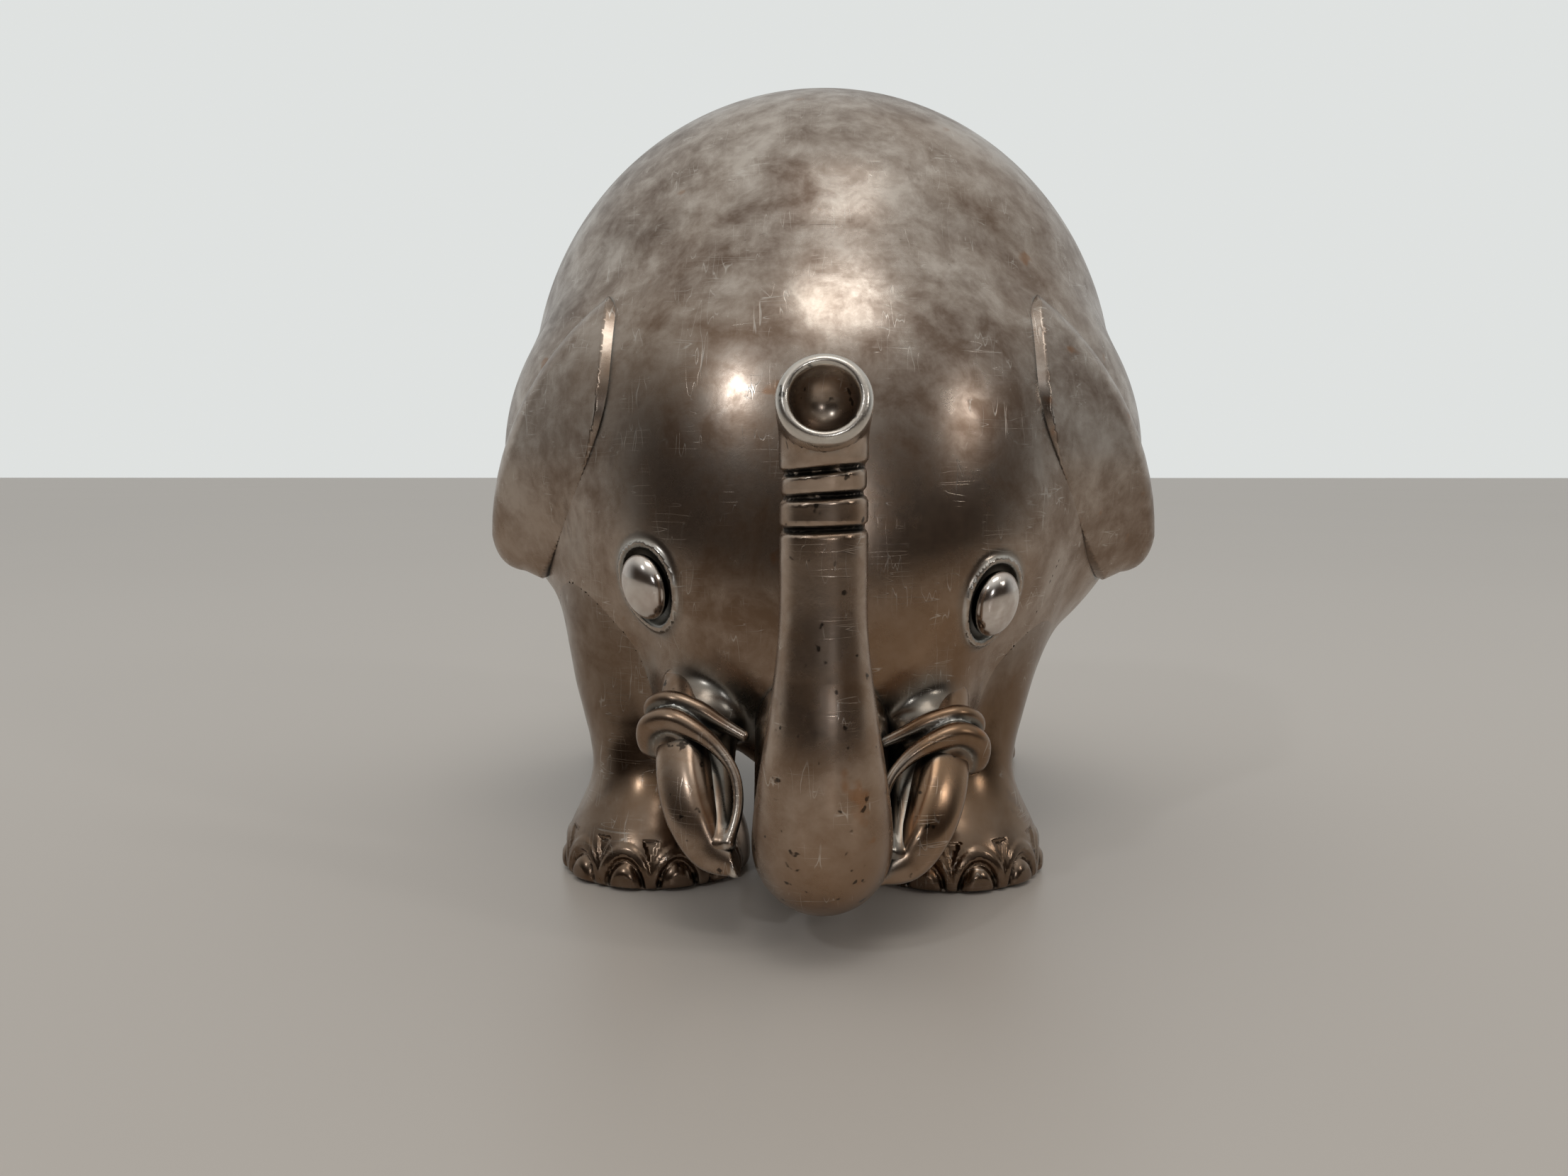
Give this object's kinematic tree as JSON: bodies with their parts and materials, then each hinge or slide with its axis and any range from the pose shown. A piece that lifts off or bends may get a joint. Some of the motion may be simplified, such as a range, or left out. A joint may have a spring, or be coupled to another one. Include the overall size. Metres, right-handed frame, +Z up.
{
  "type": "figural animal coin bank",
  "caption": "Round-bodied standing elephant money box in tarnished silver plate, with raised trunk, tusks, swept-back ears, a spine coin slot and a locking belly trap.",
  "frame": {"origin": "on the surface the feet stand on, under the middle of the whole bank's box", "axes": "+Z up, the elephant faces -Y, its own left side is +X"},
  "size_m": [0.0974, 0.134, 0.1129],
  "materials": {
    "silver_plate": "silver-plated brass, warm grey-taupe tarnish, worn bright on edges, nearly black in creases",
    "bright_plate": "silver-plated brass rubbed bright and smooth",
    "lock_brass": "dull turned brass",
    "steel": "plain nickel-plated steel, slightly dulled"
  },
  "bodies": {
    "bank": {"shell_left": "silver_plate", "shell_right": "silver_plate", "leg_front_left": "silver_plate", "leg_front_right": "silver_plate", "leg_rear_left": "silver_plate", "leg_rear_right": "silver_plate", "ear_left": "silver_plate", "ear_right": "silver_plate", "eye_left": "bright_plate", "eye_right": "bright_plate", "tusk_left": "silver_plate", "tusk_right": "silver_plate", "trunk": "silver_plate", "tail": "silver_plate", "trap_frame": "silver_plate", "hinge_pin": "steel"},
    "trap": {"trap_door": "silver_plate", "lock_barrel": "lock_brass", "lock_washer": "steel", "lock_nut": "lock_brass"},
    "lock_core": {"lock_plug": "lock_brass", "lock_cam": "steel", "cam_screw": "steel"},
    "key": {"key": "steel"}
  },
  "joints": [
    {"name": "trap_hinge", "type": "hinge", "parent": "bank", "child": "trap", "pos_m": [0, -0.0036, 0.0164], "axis": [-1, 0, 0], "range_deg": [0, 90]},
    {"name": "lock_turn", "type": "hinge", "parent": "trap", "child": "lock_core", "pos_m": [0, 0.0221, 0.017], "axis": [0, 0, -1], "range_deg": [0, 90]},
    {"name": "key_slide", "type": "slide", "parent": "lock_core", "child": "key", "axis": [0, 0, -1], "range_m": [0, 0.009]}
  ]
}
